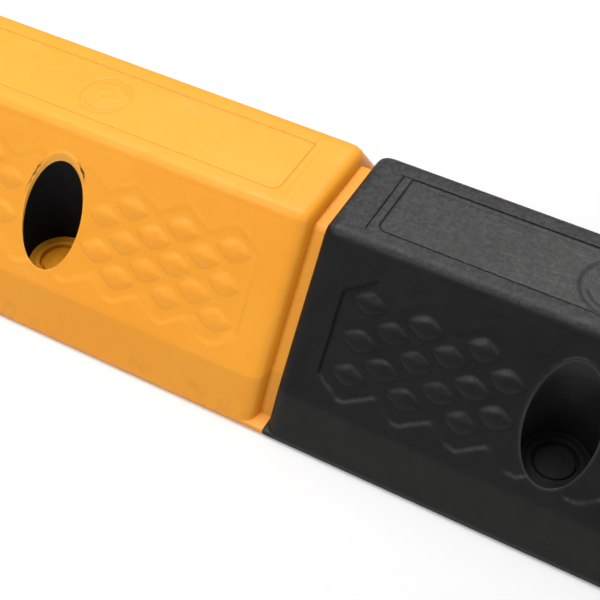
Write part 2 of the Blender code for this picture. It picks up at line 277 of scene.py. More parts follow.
def top_relief(x, y, tone, emblem_r, crisp):
    """Height of the sunk panel and its generic mark, in mm, with marks for painted sheen and wear and for
    painted shade in its lines.
    """
    u = np.abs(x)
    wander = 0.06 * np.sin(x * 0.9 + tone) + 0.03 * np.sin(x * 2.3 + y)
    to_end = PANEL_END - u + wander
    to_side = np.minimum(PANEL_BACK - y, y + PANEL_FRONT) + wander
    # the floor starts 4 mm inside the end line, with round corners at the front only
    beyond = np.hypot(np.clip(u - CORNER_U, 0, None), np.clip(-CORNER_Y - y, 0, None))
    ramp = smooth(to_end / 0.5) * 0.35 + 0.65 * smooth((4.4 - beyond) / 0.8)
    ramp *= smooth((to_side + 0.1) / 0.4)
    height = -0.55 * ramp
    # distances to the panel's lines
    front = np.where(u > CORNER_U, np.abs(CORNER_R - beyond + wander), np.abs(y + PANEL_FRONT + wander))
    front += NO_LINE * (y > PANEL_BACK)
    back = np.abs(PANEL_BACK - y + wander) + NO_LINE * (u > 102.5)
    end = np.abs(to_end) + NO_LINE * (np.abs(y + 1.1) > 17.9)
    inner_part = np.where(u > 95.0, 1.58 - 0.88 * crisp, 1.30 + 0.30 * (crisp == 1.0))
    outer_part = 0.10 + 0.80 * (crisp == 1.0)
    line = inner_part * np.exp(-(front / 0.40) ** 2) + outer_part * np.exp(-(end / 0.26) ** 2)
    line = np.maximum(line, (1.3 * crisp - 0.50) * np.exp(-(back / 0.27) ** 2))
    inner_back = np.abs(INNER_BACK_LINE - y + wander) + NO_LINE * (u > 94.0)
    line = np.maximum(line, (1.25 * crisp - 0.75) * np.exp(-(inner_back / 0.30) ** 2))
    height -= (0.62 * crisp - 0.22) * np.clip(line, 0, 1)
    # painted shade in the panel's lines
    painted_crevice_shade = line
    # painted sheen on the panel floor, strongest near the middle of the black module
    wear_and_painted_light = (0.15 + 0.5 * (crisp == 1.0) * (0.25 + 1.1 * np.exp(-(u / 48.0) ** 2))) * ramp
    # generic mark: a ring, with a rhombus and two arcs in it
    r = np.hypot(x, y)
    ring = np.exp(-((r - emblem_r) / 0.75) ** 2)
    rhomb = np.abs(x) / (0.62 * emblem_r) + np.abs(y) / (0.40 * emblem_r)
    mark = smooth((1.05 - rhomb) / 0.16) - smooth((0.60 - rhomb) / 0.16)
    arc_in = np.exp(-((r - 0.80 * emblem_r) / 0.6) ** 2) * smooth((np.abs(y) - 0.34 * emblem_r) / 1.0)
    depth = 0.45 * smooth((emblem_r - 8.0) / 7.0)
    height -= depth * np.maximum(ring, arc_in)
    height += 0.7 * depth * mark
    # painted shade in the mark's ring and arcs
    painted_crevice_shade = np.maximum(painted_crevice_shade, 1.6 * depth * np.maximum(ring, arc_in))
    height += 0.07 * np.sin(x * 0.083 + 2 * tone) * np.cos(y * 0.12)
    return height, painted_crevice_shade, wear_and_painted_light


# ---------------------------------------------------------------- the module's shell

class Shell:
    """Collects vertices and faces of a module; finish_shell() turns them into one closed mesh."""

    def __init__(self, tone, emblem_r, crisp):
        self.points = []
        self.faces = []
        self.marks = []
        self.tone = tone
        self.emblem_r = emblem_r
        self.crisp = crisp
        self.torn = 1.0 if crisp < 1 else 0.35

    def add(self, coordinates, marks=None):
        start = len(self.points)
        self.points.extend(np.asarray(coordinates).tolist())
        blank = [[0.0, 0.0]] * len(coordinates)
        self.marks.extend(blank if marks is None else np.asarray(marks).tolist())
        return list(range(start, start + len(coordinates)))

    def strip(self, a, b, closed=False):
        last = len(a) if closed else len(a) - 1
        for i in range(last):
            j = (i + 1) % len(a)
            self.faces.append((a[i], a[j], b[j], b[i]))

    def displaced(self, points, kinds, downs):
        """Moves points of the outer skin by the relief; kinds is 1 on a slope, 2 on the top."""
        points = points.copy()
        marks = np.zeros((len(points), 2))
        x, y = points[:, 0] / MM, points[:, 1] / MM
        side = np.sign(points[:, 1])
        fade = smooth((HALF_BODY / MM - END_RADIUS / MM - np.abs(x)) / 3.0)
        on_slope = kinds == 1
        h, c, w = slope_relief(x[on_slope], downs[on_slope] / MM, self.tone + side[on_slope], self.crisp)
        f = fade[on_slope] * smooth((downs[on_slope] / MM - 2.0) / 3.0) * smooth(
            (SLOPE_LENGTH / MM + 2.0 - downs[on_slope] / MM) / 3.0)
        points[on_slope, 1] += side[on_slope] * math.sin(SLOPE) * h * f * MM
        points[on_slope, 2] += math.cos(SLOPE) * h * f * MM
        marks[on_slope, 0] = c * f
        marks[on_slope, 1] = w * f
        on_top = kinds == 2
        h, c, w = top_relief(x[on_top], y[on_top], self.tone, self.emblem_r, self.crisp)
        points[on_top, 2] += h * fade[on_top] * MM
        marks[on_top, 0] = c * fade[on_top]
        marks[on_top, 1] = w * fade[on_top]
        return points, marks


def down_slope(y, z):
    """Distance down the slope from the crest's corner, for points near the slope."""
    return (np.abs(y) - CREST) * math.cos(SLOPE) + (HEIGHT - z) * math.sin(SLOPE)


def rounding(a):
    """(reach, inset) of a module's end rounding, at angle a of its superellipse."""
    power = 2 / END_SQUARENESS
    return END_RADIUS * math.cos(a) ** power, END_RADIUS * (1 - math.sin(a) ** power)


def rounding_start(inset):
    """The angle at which the end rounding is this far inside the outer profile."""
    return math.asin((1 - inset / END_RADIUS) ** (END_SQUARENESS / 2))


def station_list():
    """(x, inset, flange half-width or None) of the outer skin, from the left rim to the tongue."""
    stations = []
    centre = HALF_BODY - END_RADIUS
    first = rounding_start(SOCKET_INSET - 0.15 * MM)
    for i in range(13):
        reach, inset = rounding(first + (math.pi / 2 - first) * i / 13)
        stations.append((-centre - reach, inset, HALF_WIDTH))
    # closer together at the panel's two end lines, 96.5 and 100.5 mm from the bores
    side = []
    marks = [PATCH_X, 95.7 * MM, 97.3 * MM, 99.8 * MM, 101.2 * MM, centre]
    for a, b, steps in zip(marks, marks[1:], (107, 7, 4, 6, 8)):
        side += [a + (b - a) * i / steps for i in range(steps)]
    side.append(centre)
    for x in side[:0:-1]:
        stations.append((-x, 0.0, HALF_WIDTH))
    mid_steps = 62
    for i in range(mid_steps):
        stations.append((-PATCH_X + 2 * PATCH_X * i / mid_steps, 0.0, HALF_WIDTH))
    for x in side:
        stations.append((x, 0.0, HALF_WIDTH))
    last = rounding_start(TONGUE_INSET)
    for i in range(1, 17):
        reach, inset = rounding(math.pi / 2 + (last - math.pi / 2) * i / 16)
        stations.append((centre + reach, inset, HALF_WIDTH))
    stations.append((TONGUE_START, TONGUE_INSET + 0.02 * MM, HALF_WIDTH))
    for i in range(1, 4):
        x = TONGUE_START + (STRIP_END - TONGUE_START) * i / 3
        stations.append((x, TONGUE_INSET, HALF_WIDTH))
    stations.append((STRIP_END, TONGUE_INSET, None))
    for i in range(1, 9):
        stations.append((STRIP_END + (TONGUE_END - TONGUE_EDGE - STRIP_END) * i / 8, TONGUE_INSET, None))
    for i in range(1, 5):
        a = math.pi / 2 * i / 4
        stations.append((TONGUE_END - TONGUE_EDGE * (1 - math.sin(a)),
                         TONGUE_INSET + TONGUE_EDGE * (1 - math.cos(a)), None))
    return stations


def row_kinds():
    """For each point of a section: 1 on a slope, 2 on the top, else 0."""
    half = np.zeros(HALF_COUNT, int)
    half[FIRST_SLOPE - 1:FIRST_SLOPE + SLOPE_ROWS] = 1
    half[FIRST_SLOPE + SLOPE_ROWS + ARC_ROWS:] = 2
    return np.concatenate([half, half[:-1][::-1]])


def outer_skin(shell):
    """The outside, with its relief, except for the bores' mouths; returns the first and last loops
    and the two mouth rings."""
    kinds = row_kinds()
    stations = station_list()
    rows = len(kinds)
    base = np.array([section(*s) for s in stations])
    flat = base.reshape(-1, 3)
    all_kinds = np.tile(kinds, len(stations))
    plain = np.repeat([s[1] > 0 for s in stations], rows)
    all_kinds[plain] = 0
    downs = down_slope(flat[:, 1], flat[:, 2])
    moved, marks = shell.displaced(flat, all_kinds, downs)
    # a little painted shade on the tongue's top, beside the module's end, and painted light on the yellow
    # tongue's slopes
    past = (flat[:, 0] - HALF_BODY) / MM
    tongue_top = smooth((flat[:, 2] / MM - 70.0) / 1.5)
    marks[:, 0] = np.maximum(marks[:, 0], 0.14 * tongue_top * smooth(past + 0.5))
    marks[:, 1] = np.maximum(marks[:, 1], 2.0 * (1 - shell.crisp) * (1 - tongue_top) * smooth(past + 0.3))
    index = np.array(shell.add(moved, marks)).reshape(len(stations), rows)
    xs = np.array([s[0] for s in stations])
    columns = [i for i in range(len(xs)) if abs(xs[i]) <= PATCH_X + 1e-7]
    i0, i1 = columns[0], columns[-1]
    sides = mouth_sides(rows)
    for i in range(len(stations) - 1):
        for j in range(rows - 1):
            if i0 <= i < i1 and any(a <= j < b for a, b in sides):
                continue
            shell.faces.append((index[i, j], index[i + 1, j], index[i + 1, j + 1], index[i, j + 1]))
    mouths = []
    for a, b in sides:
        loop = [(i, a) for i in range(i0, i1)]
        loop += [(i1, j) for j in range(a, b)]
        loop += [(i, b) for i in range(i1, i0, -1)]
        loop += [(i0, j) for j in range(b, a, -1)]
        mouths.append(mouth_patch(shell, [index[k] for k in loop], [base[k] for k in loop]))
    return list(index[0]), list(index[-1]), mouths


def mouth_patch(shell, ring, base):
    """Rings from the patch's border down to the round mouth; returns the mouth's ring and side."""
    base = np.array(base)
    side = 1.0 if base[0, 1] > 0 else -1.0
    rx, ry = base[:, 0], side * base[:, 1] - BORE_Y
    reach = np.hypot(rx, ry)
    cos_a, sin_a = rx / reach, ry / reach
    mouth = BORE_R + LIP
    steps = 15
    rings = []
    for k in range(1, steps + 7):
        if k <= steps:
            t = k / steps
            t = t * (1.35 - 0.35 * t)
            radius = reach + (mouth - reach) * t
            drop = 0.0
        else:
            a = math.pi / 2 * (k - steps) / 6
            radius = np.full(len(reach), mouth - LIP * math.sin(a))
            drop = LIP * 1.1 * (1 - math.cos(a))
        x = radius * cos_a
        y = BORE_Y + radius * sin_a
        z = HEIGHT - (y - CREST) * math.tan(SLOPE)
        points = np.stack([x, side * y, z], 1)
        downs = (y - CREST) / math.cos(SLOPE)
        moved, marks = shell.displaced(points, np.ones(len(x), int), downs)
        # soft raised lip, strongest above the mouth, and the torn flash line beside it
        away = (radius - BORE_R) / MM * (1 + 0.76 * np.abs(sin_a))
        above = smooth((0.9 - sin_a) / 1.4)
        lip = (0.40 * np.exp(-((away - 1.1) / 0.9) ** 2)) * above
        angle = np.arctan2(-sin_a, cos_a)
        wave = 0.5 + 0.5 * np.sin(angle * 23 + shell.tone * 3) * np.sin(angle * 11)
        right, left = np.exp(-((angle - 0.92) / 0.26) ** 2), np.exp(-((angle - 2.58) / 0.36) ** 2)
        place_of_tear = 1.5 + 0.7 * right - 0.4 * left + 0.2 * np.sin(angle * 31)
        torn = np.clip((right + left) * (0.85 + 0.6 * wave) - 0.2, 0, 1)
        torn *= np.exp(-((away - place_of_tear) / 0.55) ** 2)
        torn *= shell.torn
        h = (lip - 0.6 * torn) * MM
        moved[:, 1] += side * math.sin(SLOPE) * h
        moved[:, 2] += math.cos(SLOPE) * h - drop
        # the pattern fades out at the lip, and the mouth itself stays round
        fade = smooth(1.0 - away / 2.0)
        moved[:, 0] += (points[:, 0] - moved[:, 0]) * fade
        moved[:, 1] += (points[:, 1] - moved[:, 1]) * fade
        # painted shade along the torn line, and a painted highlight along the lip
        marks[:, 0] = np.maximum(marks[:, 0] * (1 - fade), 2.4 * torn)
        marks[:, 1] = np.maximum(marks[:, 1] * (1 - fade), 0.9 * np.exp(-((away - 0.7) / 0.6) ** 2))
        row = shell.add(moved, marks)
        previous = rings[-1] if rings else list(ring)
        if side > 0:
            shell.strip(previous, row, closed=True)
        else:
            shell.strip(row, previous, closed=True)
        rings.append(row)
    return rings[-1], side


def wall(shell, ring, side, z_of, steps, painted_wall_light=0.0):
    """A vertical wall down from a ring, to heights given by a function of the ring's points."""
    top = np.array([shell.points[i] for i in ring])
    floor = z_of(top)
    rings = [ring]
    for k in range(1, steps + 1):
        t = k / steps
        points = top.copy()
        points[:, 2] = top[:, 2] + (floor - top[:, 2]) * t
        # painted light on the wall, through the wear mark
        row = shell.add(points, [[0.0, painted_wall_light]] * len(points))
        if side > 0:
            shell.strip(rings[-1], row, closed=True)
        else:
            shell.strip(row, rings[-1], closed=True)
        rings.append(row)
    return rings[-1]


def narrowed(shell, ring, side, radius, z):
    """A flat floor from a ring of the bore in to a smaller radius, at height z."""
    top = np.array([shell.points[i] for i in ring])
    centre = np.array([0.0, side * BORE_Y])
    away = top[:, :2] - centre
    away *= radius / np.linalg.norm(away, axis=1)[:, None]
    points = np.column_stack([centre + away, np.full(len(ring), z)])
    row = shell.add(points)
    if side > 0:
        shell.strip(ring, row, closed=True)
    else:
        shell.strip(row, ring, closed=True)
    return row


def finish_shell(shell, name, fill_planes):
    """Welds the collected skin, fills its flat open outlines, and returns the object."""
    bm = bmesh.new()
    # vertex marks: painted crevice shade, and wear with painted light
    layers = [bm.verts.layers.float.new(key) for key in ("painted_crevice_shade", "wear_and_painted_light")]
    verts = []
    for point, mark in zip(shell.points, shell.marks):
        vert = bm.verts.new(point)
        vert[layers[0]], vert[layers[1]] = mark
        verts.append(vert)
    for face in shell.faces:
        corners = []
        for i in face:
            if verts[i] not in corners:
                corners.append(verts[i])
        if len(corners) > 2:
            try:
                bm.faces.new(corners)
            except ValueError:
                pass
    bmesh.ops.remove_doubles(bm, verts=bm.verts, dist=2e-6)
    bmesh.ops.dissolve_degenerate(bm, edges=bm.edges, dist=1e-7)
    for test in fill_planes:
        edges = [e for e in bm.edges if e.is_boundary and all(test(v.co) for v in e.verts)]
        if edges:
            bmesh.ops.triangle_fill(bm, use_beauty=True, use_dissolve=False, edges=edges)
    loose = [v for v in bm.verts if not v.link_faces]
    bmesh.ops.delete(bm, geom=loose, context="VERTS")
    bmesh.ops.recalc_face_normals(bm, faces=bm.faces)
    open_edges = sum(1 for e in bm.edges if not e.is_manifold)
    print("SHELL", name, len(bm.verts), len(bm.faces), "open edges", open_edges)
    mesh = bpy.data.meshes.new(name)
    bm.to_mesh(mesh)
    bm.free()
    obj = bpy.data.objects.new(name, mesh)
    bpy.context.collection.objects.link(obj)
    mesh.shade_smooth()
    mesh.set_sharp_from_angle(angle=math.radians(50))
    return obj


def ngon(shell, loop):
    shell.faces.append(tuple(loop))


def on_road(co):
    return abs(co.z) < 1e-6


def solid_body(name, floor_z, *look):
    """One-piece module: outer skin, socket, bores with their floors and bolt holes."""
    shell = Shell(*look)
    left, right, mouths = outer_skin(shell)
    inside = [left]
    for x in (-HALF_BODY + 0.9 * MM, -100 * MM, SOCKET_BACK):
        row = shell.add(section(x, SOCKET_INSET, None))
        shell.strip(inside[-1], row)
        inside.append(row)
    ngon(shell, inside[-1])
    ngon(shell, right[::-1])
    for ring, side in mouths:
        low = wall(shell, ring, side, lambda p: np.full(len(p), floor_z), 6)
        hole = narrowed(shell, low, side, BOLT_R, floor_z)
        wall(shell, hole, side, lambda p: np.zeros(len(p)), 2)
    return finish_shell(shell, name, [on_road])


def slope_plane(inset):
    """Height of a slope moved inwards, as a function of |y|."""
    return lambda y: HEIGHT - (np.abs(y) - CREST) * math.tan(SLOPE) - inset / math.cos(SLOPE)


def skin_shell(name, *look):
    """Thin moulded skin: the outer relief and a plain inner face, joined at the road and the rim."""
    shell = Shell(*look)
    left, right, mouths = outer_skin(shell)
    centre = HALF_BODY - END_RADIUS
    radius = END_RADIUS - SKIN
    first = math.asin((END_RADIUS - SOCKET_INSET) / radius)
    inner = []
    for i in range(5):
        a = first + (math.pi / 2 - first) * i / 5
        inner.append((-centre - radius * math.cos(a), END_RADIUS - radius * math.sin(a)))
    inner += [(-centre, SKIN), (-PATCH_X, SKIN), (PATCH_X, SKIN), (centre, SKIN)]
    last = math.asin((END_RADIUS - TONGUE_INSET - SKIN) / radius)
    for i in range(1, 6):
        a = math.pi / 2 + (last - math.pi / 2) * i / 5
        inner.append((centre + radius * math.cos(a), END_RADIUS - radius * math.sin(a)))
    inner.append((TONGUE_END - SKIN, TONGUE_INSET + SKIN))
    loops = [shell.add(section(x, inset, None)) for x, inset in inner]
    shell.strip(left, loops[0])
    rows = len(loops[0])
    sides = mouth_sides(rows)
    for k, (a, b) in enumerate(zip(loops, loops[1:])):
        middle = abs(inner[k][0] + PATCH_X) < 1e-9
        for j in range(rows - 1):
            if middle and any(p <= j < q for p, q in sides):
                continue
            shell.faces.append((a[j], a[j + 1], b[j + 1], b[j]))
    ngon(shell, loops[-1])
    ngon(shell, right[::-1])
    plane = slope_plane(SKIN)
    for ring, side in mouths:
        # the skin's walls in the mouths get painted light through the wear mark
        wall(shell, ring, side, lambda p: plane(p[:, 1]), 2, 2.6)

    def on_inner(which):
        return lambda co: co.y * which > 0 and abs(co.z - plane(co.y)) < 3e-6 and abs(co.x) < PATCH_X + 1e-6
    return finish_shell(shell, name, [on_inner(1), on_inner(-1), on_road])


def place(obj, module):
    """Moves a mesh made in module-local x to its module, in the mesh itself."""
    obj.location.x = MODULES[module]["x"]
    bpy.context.view_layer.update()
    obj.data.transform(obj.matrix_world)
    obj.matrix_world = Matrix.Identity(4)
    return obj


def inner_core(name, floor_z):
    """Black core of the yellow module: a plain lofted solid, cut by the socket and the bores."""
    inset = SKIN + 0.05 * MM
    centre = HALF_BODY - END_RADIUS
    radius = END_RADIUS - inset
    stations = []
    for i in range(7):
        a = math.pi / 2 * i / 6
        stations.append((-centre - radius * math.cos(a), END_RADIUS - radius * math.sin(a)))
    last = math.asin((END_RADIUS - TONGUE_INSET - inset) / radius)
    for i in range(7):
        a = math.pi / 2 + (last - math.pi / 2) * i / 6
        stations.append((centre + radius * math.cos(a), END_RADIUS - radius * math.sin(a)))
    stations.append((TONGUE_END - inset, TONGUE_INSET + inset))
    core = loft_object(name, stations, 0.0)
    socket = loft_object("cut_socket", [(-130 * MM, SOCKET_INSET), (SOCKET_BACK, SOCKET_INSET)], -2 * MM)
    cutters = [socket]
    for side in (-1, 1):
        for r, low, high in ((BORE_R, floor_z, 90 * MM), (BOLT_R, -5 * MM, floor_z + 1 * MM)):
            bm = bmesh.new()
            bmesh.ops.create_cone(bm, cap_ends=True, segments=144, radius1=r, radius2=r, depth=high - low)
            bmesh.ops.translate(bm, verts=bm.verts, vec=(0, side * BORE_Y, (low + high) / 2))
            cutters.append(mesh_object("cut_bore", bm))
    for cutter in cutters:
        modifier = core.modifiers.new("cut", "BOOLEAN")
        modifier.operation = "DIFFERENCE"
        modifier.solver = "EXACT"
        modifier.object = cutter
    bpy.context.view_layer.update()
    mesh = bpy.data.meshes.new_from_object(core.evaluated_get(bpy.context.evaluated_depsgraph_get()))
    core.modifiers.clear()
    core.data = mesh
    mesh.name = name
    for cutter in cutters:
        bpy.data.objects.remove(cutter, do_unlink=True)
    # the cuts leave some corners double, one rounding step apart, which would open the mesh
    bm = bmesh.new()
    bm.from_mesh(mesh)
    bmesh.ops.remove_doubles(bm, verts=bm.verts, dist=1e-6)
    bmesh.ops.dissolve_degenerate(bm, edges=bm.edges, dist=1e-7)
    bm.to_mesh(mesh)
    bm.free()
    mesh.shade_smooth()
    mesh.set_sharp_from_angle(angle=math.radians(35))
    return core


def mesh_object(name, bm):
    mesh = bpy.data.meshes.new(name)
    bm.to_mesh(mesh)
    bm.free()
    obj = bpy.data.objects.new(name, mesh)
    bpy.context.collection.objects.link(obj)
    return obj


def coarse_section(x, inset, bottom):
    """The section with few points, closed along a given bottom."""
    half = half_profile(inset, None)
    keep = [half[2], half[FLANGE_POINTS - 1], half[FIRST_SLOPE - 1]]
    start = FIRST_SLOPE + SLOPE_ROWS - 1
    keep += half[start:start + ARC_ROWS + 1:3]
    half = [(keep[0][0], bottom)] + keep
    return [(x, y, z) for y, z in half + [(-y, z) for y, z in reversed(half)]]


def loft_object(name, stations, bottom):
    """A closed solid through coarse sections, at stations given as (x, inset)."""
    bm = bmesh.new()
    loops = [[bm.verts.new(p) for p in coarse_section(x, inset, bottom)] for x, inset in stations]
    for a, b in zip(loops, loops[1:]):
        for i in range(len(a)):
            j = (i + 1) % len(a)
            bm.faces.new((a[i], a[j], b[j], b[i]))
    bm.faces.new(loops[0])
    bm.faces.new(loops[-1][::-1])
    bmesh.ops.remove_doubles(bm, verts=bm.verts, dist=1e-6)
    bmesh.ops.recalc_face_normals(bm, faces=bm.faces)
    return mesh_object(name, bm)


# ---------------------------------------------------------------- turned pieces

def turned(name, profile, steps=112):
    """A closed turned piece; profile is (radius, z, round-off radius) going round the section."""
    outline = []
    count = len(profile)
    for i, (r, z, bevel) in enumerate(profile):
        if bevel == 0:
            outline.append((r, z))
            continue
        here = Vector((r, z))
        before = Vector(profile[i - 1][:2]) - here
        after = Vector(profile[(i + 1) % count][:2]) - here
        a = here + before.normalized() * min(bevel, before.length * 0.49)
        b = here + after.normalized() * min(bevel, after.length * 0.49)
        for k in range(5):
            t = k / 4
            p = a * (1 - t) ** 2 + here * 2 * t * (1 - t) + b * t * t
            outline.append((p.x, p.y))
    bm = bmesh.new()
    rings = []
    for r, z in outline:
        if r < 1e-9:
            rings.append([bm.verts.new((0, 0, z))])
        else:
            angles = [2 * math.pi * k / steps for k in range(steps)]
            rings.append([bm.verts.new((r * math.cos(a), r * math.sin(a), z)) for a in angles])
    for a, b in zip(rings, rings[1:] + rings[:1]):
        if len(a) == 1 and len(b) == 1:
            continue
        for k in range(steps):
            n = (k + 1) % steps
            if len(a) == 1:
                bm.faces.new((a[0], b[n], b[k]))
            elif len(b) == 1:
                bm.faces.new((a[k], a[n], b[0]))
            else:
                bm.faces.new((a[k], a[n], b[n], b[k]))
    bmesh.ops.recalc_face_normals(bm, faces=bm.faces)
    obj = mesh_object(name, bm)
    obj.data.shade_smooth()
    obj.data.set_sharp_from_angle(angle=math.radians(40))
    return obj


def seat_pad(name, x, y, top):
    """The rubber ring at the floor of a bore."""
    m = MM
    bottom = top - PAD_THICKNESS
    profile = [(PAD_INNER, top, 0.5 * m), (11.6 * m, top, 0.3 * m), (12.1 * m, top - 0.35 * m, 0.3 * m),
               (13.7 * m, top - 0.35 * m, 0.2 * m), (PAD_OUTER, top - 0.1 * m, 0.3 * m),
               (PAD_OUTER, bottom, 0.2 * m), (PAD_INNER, bottom, 0.2 * m)]
    obj = turned(name, profile)
    obj.data.transform(Matrix.Translation((x, y, 0)))
    return obj


def plug(name, x, y, top, head_bottom, moat):
    """The plug in the middle of a seat ring, with its stem down into the bolt hole."""
    m = MM
    # a low boss, a flat disc, and a moat round it down to the head's flange
    profile = [(0, top + 0.5 * m, 0), (2.4 * m, top + 0.5 * m, 0.5 * m), (3.8 * m, top + 0.05 * m, 0.8 * m),
               (7.7 * m, top, 0.4 * m), (8.4 * m, top - 0.3 * m, 0.4 * m), (8.5 * m, top - moat, 0.3 * m),
               (HEAD_R, top - moat, 0.2 * m), (HEAD_R, head_bottom, 0.15 * m), (STEM_R, head_bottom, 0.2 * m),
               (STEM_R, 1.6 * m, 0.6 * m), (5.2 * m, STEM_END, 0.2 * m), (0, STEM_END, 0)]
    obj = turned(name, profile)
    obj.data.transform(Matrix.Translation((x, y, 0)))
    return obj


# ---------------------------------------------------------------- materials

class Nodes:
    """Short names for building a node tree."""

    def __init__(self, name):
        self.material = bpy.data.materials.new(name)
        self.material.use_nodes = True
        self.tree = self.material.node_tree
        self.shader = self.tree.nodes["Principled BSDF"]
        self.place = self.new("ShaderNodeTexCoord").outputs["Object"]

    def new(self, kind, **settings):
        node = self.tree.nodes.new(kind)
        for key, value in settings.items():
            setattr(node, key, value)
        return node

    def put(self, value, socket):
        if isinstance(value, bpy.types.NodeSocket):
            self.tree.links.new(value, socket)
        else:
            socket.default_value = value

    def noise(self, scale, detail=4.0, rough=0.55, distort=0.0, stretch=None):
        node = self.new("ShaderNodeTexNoise", noise_dimensions="3D", noise_type="FBM")
        place = self.place
        if stretch:
            mapping = self.new("ShaderNodeMapping")
            mapping.inputs["Scale"].default_value = stretch
            self.put(self.place, mapping.inputs["Vector"])
            place = mapping.outputs[0]
        self.put(place, node.inputs["Vector"])
        node.inputs["Scale"].default_value = scale
        node.inputs["Detail"].default_value = detail
        node.inputs["Roughness"].default_value = rough
        node.inputs["Distortion"].default_value = distort
        return node.outputs["Fac"]

    def cells(self, scale, feature="F1"):
        node = self.new("ShaderNodeTexVoronoi", feature=feature)
        self.put(self.place, node.inputs["Vector"])
        node.inputs["Scale"].default_value = scale
        return node.outputs["Distance"]

    def math(self, operation, a, b=0.0, clamp=False):
        node = self.new("ShaderNodeMath", operation=operation, use_clamp=clamp)
        self.put(a, node.inputs[0])
        self.put(b, node.inputs[1])
        return node.outputs[0]

    def ramp(self, value, low, high, out_low=0.0, out_high=1.0):
        node = self.new("ShaderNodeMapRange", interpolation_type="SMOOTHSTEP")
        self.put(value, node.inputs["Value"])
        for key, number in (("From Min", low), ("From Max", high), ("To Min", out_low), ("To Max", out_high)):
            self.put(number, node.inputs[key])
        return node.outputs["Result"]

    def mix(self, factor, a, b, blend="MIX"):
        node = self.new("ShaderNodeMix", data_type="RGBA", blend_type=blend)
        self.put(factor, node.inputs["Factor"])
        for value, socket in ((a, node.inputs[6]), (b, node.inputs[7])):
            self.put((*value, 1.0) if isinstance(value, tuple) and len(value) == 3 else value, socket)
        return node.outputs[2]

    def mark(self, name):
        return self.new("ShaderNodeAttribute", attribute_name=name).outputs["Fac"]

    def bump(self, height, strength, distance, after=None):
        node = self.new("ShaderNodeBump")
        node.inputs["Strength"].default_value = strength
        node.inputs["Distance"].default_value = distance
        self.put(height, node.inputs["Height"])
        if after:
            self.put(after, node.inputs["Normal"])
        return node.outputs["Normal"]

    def face_up(self):
        """How far the surface faces up, from -1 to 1."""
        split = self.new("ShaderNodeSeparateXYZ")
        self.put(self.new("ShaderNodeNewGeometry").outputs["Normal"], split.inputs[0])
        return split.outputs["Z"]

    def height(self):
        split = self.new("ShaderNodeSeparateXYZ")
        self.put(self.place, split.inputs[0])
        return split.outputs["Z"]

    def finish(self, colour, roughness, normal, specular=0.5):
        self.put(colour, self.shader.inputs["Base Color"])
        self.put(roughness, self.shader.inputs["Roughness"])
        self.put(normal, self.shader.inputs["Normal"])
        self.put(specular, self.shader.inputs["Specular IOR Level"])
        return self.material


def yellow_rubber(name, bore_shade_and_grime):
    n = Nodes(name)
    broad = n.noise(14, 3, 0.5, 0.4)
    blotch = n.noise(55, 5, 0.6, 0.6)
    fine = n.noise(420, 4, 0.6)
    colour = n.mix(n.ramp(broad, 0.3, 0.7), (0.985, 0.372, 0.018), (1.0, 0.405, 0.026))
    colour = n.mix(n.ramp(blotch, 0.50, 0.72, 0.0, 0.30), colour, (0.950, 0.330, 0.014))
    colour = n.mix(n.ramp(fine, 0.58, 0.75, 0.0, 0.22), colour, (0.97, 0.47, 0.05))
    # rubbed, chalky patches and thin scuffs
    chalk = n.math("MULTIPLY", n.ramp(n.noise(38, 6, 0.7, 1.0), 0.56, 0.74),
                   n.ramp(n.noise(240, 3, 0.6), 0.4, 0.7))
    colour = n.mix(n.math("MULTIPLY", chalk, 0.22), colour, (0.98, 0.62, 0.20))
    scuff = n.ramp(n.noise(30, 5, 0.7, 2.2, (0.5, 3.0, 3.0)), 0.62, 0.72)
    colour = n.mix(n.math("MULTIPLY", scuff, 0.12), colour, (0.98, 0.66, 0.26))
    # road dust low down
    low = n.ramp(n.height(), 0.001, 0.020, 1.0, 0.0)
    dirt = n.ramp(n.noise(70, 6, 0.7, 0.8), 0.47, 0.70)
    colour = n.mix(n.math("MULTIPLY", n.math("MULTIPLY", low, dirt), 0.30), colour, (0.40, 0.17, 0.035))
    # painted shade in the pattern's corners, grooves and creases
    colour = n.mix(n.math("MULTIPLY", n.mark("painted_crevice_shade"), 0.50, True), colour, (0.30, 0.135, 0.010))
    # the torn line's groove painted near black: painted shade
    torn = n.ramp(n.mark("painted_crevice_shade"), 1.05, 1.45)
    colour = n.mix(torn, colour, (0.06, 0.02, 0.004))
    # wear and painted highlights: glints, lit edges, the lip, the mouths' walls and the tongue's slopes
    colour = n.mix(n.math("MULTIPLY", n.mark("wear_and_painted_light"), 0.22, True), colour, (1.0, 0.55, 0.10))
    specks = n.ramp(n.cells(330), 0.05, 0.09, 1.0, 0.0)
    sparse = n.ramp(n.noise(90, 2, 0.5), 0.60, 0.66)
    colour = n.mix(n.math("MULTIPLY", n.math("MULTIPLY", specks, sparse), 0.45), colour, (0.30, 0.12, 0.02))
    # darker orange for the copies in the bores: painted shade, with some grime
    shade_and_soot = n.ramp(n.noise(160, 5, 0.65, 0.5), 0.25, 0.75, 0.75, 1.0)
    colour = n.mix(n.math("MULTIPLY", shade_and_soot, bore_shade_and_grime), colour, (0.70, 0.235, 0.001))
    # darker on the skirt, below the knee
    skirt = n.ramp(n.height(), 0.0193, 0.0204, 1.0, 0.0)
    colour = n.mix(n.math("MULTIPLY", skirt, 0.30 * (1 - bore_shade_and_grime)), colour, (0.62, 0.24, 0.022))
    roughness = n.math("ADD", n.ramp(blotch, 0.3, 0.7, 0.40, 0.52), n.math("MULTIPLY", chalk, 0.15))
    normal = n.bump(n.noise(95, 4, 0.6, 0.5), 0.22, 0.0006)
    normal = n.bump(n.noise(1500, 3, 0.7), 0.16, 0.00012, normal)
    normal = n.bump(scuff, 0.15, 0.0001, normal)
    return n.finish(colour, roughness, normal, 0.42 if bore_shade_and_grime == 0 else 0.08)


